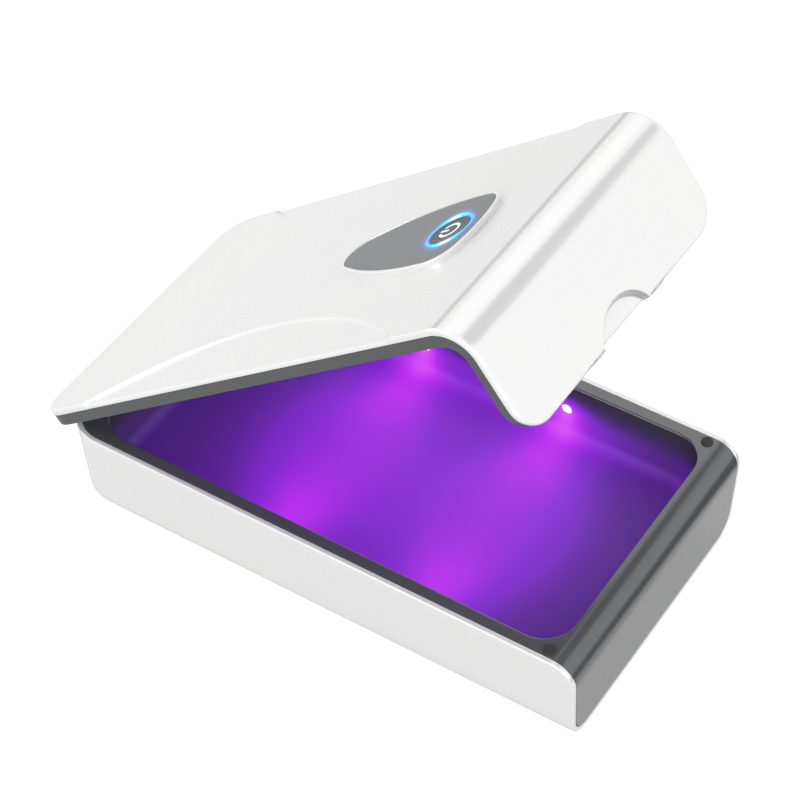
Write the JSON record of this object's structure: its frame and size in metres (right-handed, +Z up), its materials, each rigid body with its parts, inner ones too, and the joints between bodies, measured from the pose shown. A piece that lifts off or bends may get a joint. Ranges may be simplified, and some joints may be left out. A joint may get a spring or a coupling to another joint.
{
  "type": "ultraviolet phone sanitizer box",
  "caption": "Low white box with a grey inner chamber and a hinged L-shaped lid, a lit power button on the lid and ultraviolet lights in the chamber walls.",
  "frame": {"origin": "bottom centre of the whole object with its lid at the pictured angle: z = 0 is the underside of the feet", "axes": "+Z up, -Y towards the front that opens, +Y towards the hinge, +X to the right as seen from the front"},
  "size_m": [0.12, 0.2174, 0.1673],
  "materials": {
    "shell": "fine satin white ABS, moulded",
    "liner": "grey ABS, moulded, fine grain",
    "panel": "satin grey, painted",
    "button": "black, satin gloss",
    "symbol": "translucent white, lit",
    "ring": "blue light pipe, lit",
    "window": "clear quartz window, violet glow",
    "emitter": "lit violet emitter",
    "rubber": "black rubber",
    "steel": "plated steel",
    "magnet": "nickel plated",
    "board": "green circuit board",
    "chip": "black epoxy",
    "ribbon": "white ribbon lead",
    "led": "surface-mount light"
  },
  "bodies": {
    "base": {"base_shell": "shell", "inner_tub": "liner", "rim_stop_left": "rubber", "rim_stop_right": "rubber", "foot_front_left": "rubber", "foot_front_right": "rubber", "foot_back_left": "rubber", "foot_back_right": "rubber", "housing_screws": "steel", "main_board": "board", "board_screws": "steel", "power_socket": "steel", "socket_tongue": "chip", "controller_chip": "chip", "driver_coil": "chip", "light_board_left": "board", "light_board_right": "board", "emitter_front_left": "emitter", "emitter_back_left": "emitter", "emitter_front_right": "emitter", "emitter_back_right": "emitter", "window_front_left": "window", "window_back_left": "window", "window_front_right": "window", "window_back_right": "window", "light_ribbon_left": "ribbon", "light_ribbon_right": "ribbon", "lid_sensor_board": "board", "lid_sensor": "chip", "catch_plate_left": "steel", "catch_plate_right": "steel", "hinge_pin_left": "steel", "hinge_pin_right": "steel", "friction_washer_left": "steel", "friction_washer_right": "steel"},
    "lid": {"lid_shell": "shell", "lid_liner": "liner", "lid_screws": "steel", "control_panel": "panel", "light_ring": "ring", "button_board": "board", "button_board_screws": "steel", "tact_switch": "chip", "ring_led_front": "led", "ring_led_back": "led", "ring_led_left": "led", "ring_led_right": "led", "lid_magnet_left": "magnet", "lid_magnet_right": "magnet", "lid_ribbon": "ribbon"},
    "button": {"power_button": "button", "power_symbol": "symbol", "switch_plunger": "chip"}
  },
  "joints": [
    {"name": "lid_hinge", "type": "hinge", "parent": "base", "child": "lid", "pos_m": [0, 0.09369, 0.0323], "axis": [-1, 0, 0], "range_deg": [-38, 62]},
    {"name": "button_press", "type": "slide", "parent": "lid", "child": "button", "axis": [0, -0.6157, -0.788], "range_m": [0, 0.0005], "stiffness_N_per_m": 1500, "springref_m": -0.0003}
  ]
}
